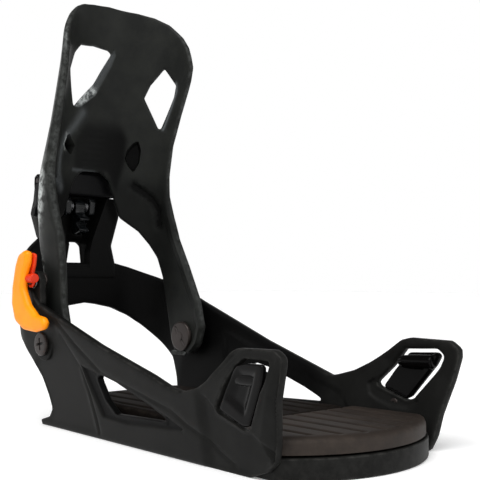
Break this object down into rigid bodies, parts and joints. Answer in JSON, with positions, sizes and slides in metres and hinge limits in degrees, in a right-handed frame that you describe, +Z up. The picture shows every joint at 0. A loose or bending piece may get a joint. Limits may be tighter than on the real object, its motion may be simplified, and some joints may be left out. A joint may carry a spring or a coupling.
{
  "type": "step-in snowboard binding",
  "caption": "Strapless snowboard binding: side hooks hold the boot's toe, a spring latch its heel, and a tall folding back supports the calf, with a side release lever.",
  "frame": {"origin": "centre of the mounting disc on the board's surface", "axes": "+X towards the toe, along the foot; +Z up from the board; the release lever is on -Y"},
  "size_m": [0.2975, 0.148, 0.291],
  "materials": {
    "shell_plastic": "fine matt texture, glass-filled nylon",
    "highback_plastic": "fine matt texture with a slight sheen",
    "disc_plastic": "matt",
    "pad_foam": "matt closed-cell foam",
    "ramp_plastic": "matt",
    "grip_rubber": "matt ribbed rubber",
    "hook_metal": "gloss black",
    "fastener_steel": "dark oxide",
    "bush_plastic": "satin",
    "latch_metal": "gloss black",
    "spring_steel": "bright",
    "lever_orange": "satin",
    "link_red": "satin",
    "adjuster_plastic": "satin"
  },
  "bodies": {
    "chassis": {"chassis": "shell_plastic", "footbed": "pad_foam", "base_pad_front": "pad_foam", "base_pad_rear": "pad_foam", "toe_hook_near": "hook_metal", "toe_hook_far": "hook_metal", "toe_hook_screws": "fastener_steel", "pivot_nuts": "fastener_steel", "pivot_screws": "fastener_steel", "latch_housing": "latch_metal", "latch_pin": "fastener_steel", "latch_springs": "spring_steel", "lever_pin": "fastener_steel", "lever_spring": "spring_steel"},
    "mounting_disc": {"mounting_disc": "disc_plastic"},
    "toe_ramp": {"toe_ramp": "ramp_plastic", "toe_grip": "grip_rubber", "ramp_screws": "fastener_steel"},
    "highback": {"highback": "highback_plastic", "pivot_bushes": "bush_plastic"},
    "lean_block": {"lean_block": "adjuster_plastic", "lean_pin": "fastener_steel"},
    "lean_lever": {"lean_lever": "adjuster_plastic"},
    "release_lever": {"release_lever": "lever_orange", "lever_hub": "link_red"},
    "heel_latch": {"heel_latch": "latch_metal"},
    "release_link": {"release_link": "link_red"}
  },
  "joints": [
    {"name": "disc_turn", "type": "hinge", "parent": "chassis", "child": "mounting_disc", "pos_m": [0, 0, 0], "axis": [0, 0, 1], "continuous": true},
    {"name": "ramp_slide", "type": "slide", "parent": "chassis", "child": "toe_ramp", "axis": [1, 0, 0], "range_m": [0, 0.012]},
    {"name": "highback_fold", "type": "hinge", "parent": "chassis", "child": "highback", "pos_m": [-0.103, 0, 0.053], "axis": [0, 1, 0], "range_deg": [0, 80]},
    {"name": "lean_slide", "type": "slide", "parent": "highback", "child": "lean_block", "axis": [0, 0, 1], "range_m": [0, 0.012]},
    {"name": "lean_lever_flip", "type": "hinge", "parent": "lean_block", "child": "lean_lever", "pos_m": [-0.1565, -0.0384, 0.163], "axis": [0, 1, 0], "range_deg": [0, 90]},
    {"name": "lever_pull", "type": "hinge", "parent": "chassis", "child": "release_lever", "pos_m": [-0.112, -0.07, 0.093], "axis": [0, -1, 0], "range_deg": [0, 40], "stiffness_Nm_per_rad": 0.3, "springref_deg": -11.46},
    {"name": "latch_swing", "type": "hinge", "parent": "chassis", "child": "heel_latch", "pos_m": [-0.1615, -0.004, 0.147], "axis": [0, 1, 0], "range_deg": [0, 12]},
    {"name": "link_pull", "type": "hinge", "parent": "chassis", "child": "release_link", "pos_m": [-0.124, -0.028, 0.089], "axis": [0, 0, -1], "range_deg": [0, 9]}
  ],
  "couplings": [
    {"joint": "latch_swing", "follows": "lever_pull", "ratio": 0.3},
    {"joint": "link_pull", "follows": "lever_pull", "ratio": 0.225}
  ]
}
